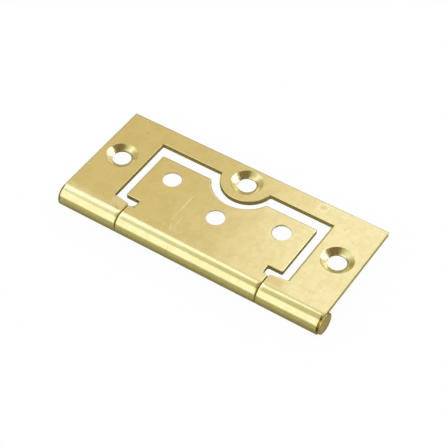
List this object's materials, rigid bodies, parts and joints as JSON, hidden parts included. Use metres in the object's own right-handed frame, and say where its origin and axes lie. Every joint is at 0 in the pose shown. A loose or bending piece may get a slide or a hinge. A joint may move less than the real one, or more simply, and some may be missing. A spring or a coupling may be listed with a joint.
{
  "type": "flush hinge",
  "caption": "Flush hinge: a pressed outer leaf whose cut-out holds a nested inner leaf, both curled round one headed pin, with countersunk screw holes.",
  "frame": {"origin": "centre of the outer leaf's middle screw hole, on the leaf's underside, the face that lies on the work", "axes": "+X along the pin towards its head, +Y from the pin to the leaves' free edges, +Z out of the face that shows the outer leaf's countersinks"},
  "size_m": [0.0754, 0.0337, 0.0062],
  "materials": {
    "outer_leaf": "bright polished brass plate, lightly scratched and pitted",
    "inner_leaf": "bright polished brass plate, lightly scratched and pitted",
    "hinge_pin": "dull brass, plain turned"
  },
  "bodies": {
    "outer": {"outer_leaf": "outer_leaf", "hinge_pin": "hinge_pin"},
    "inner": {"inner_leaf": "inner_leaf"}
  },
  "joints": [
    {"name": "leaf_swing", "type": "hinge", "parent": "outer", "child": "inner", "pos_m": [0, -0.02545, -0.0019], "axis": [1, 0, 0], "continuous": true}
  ]
}
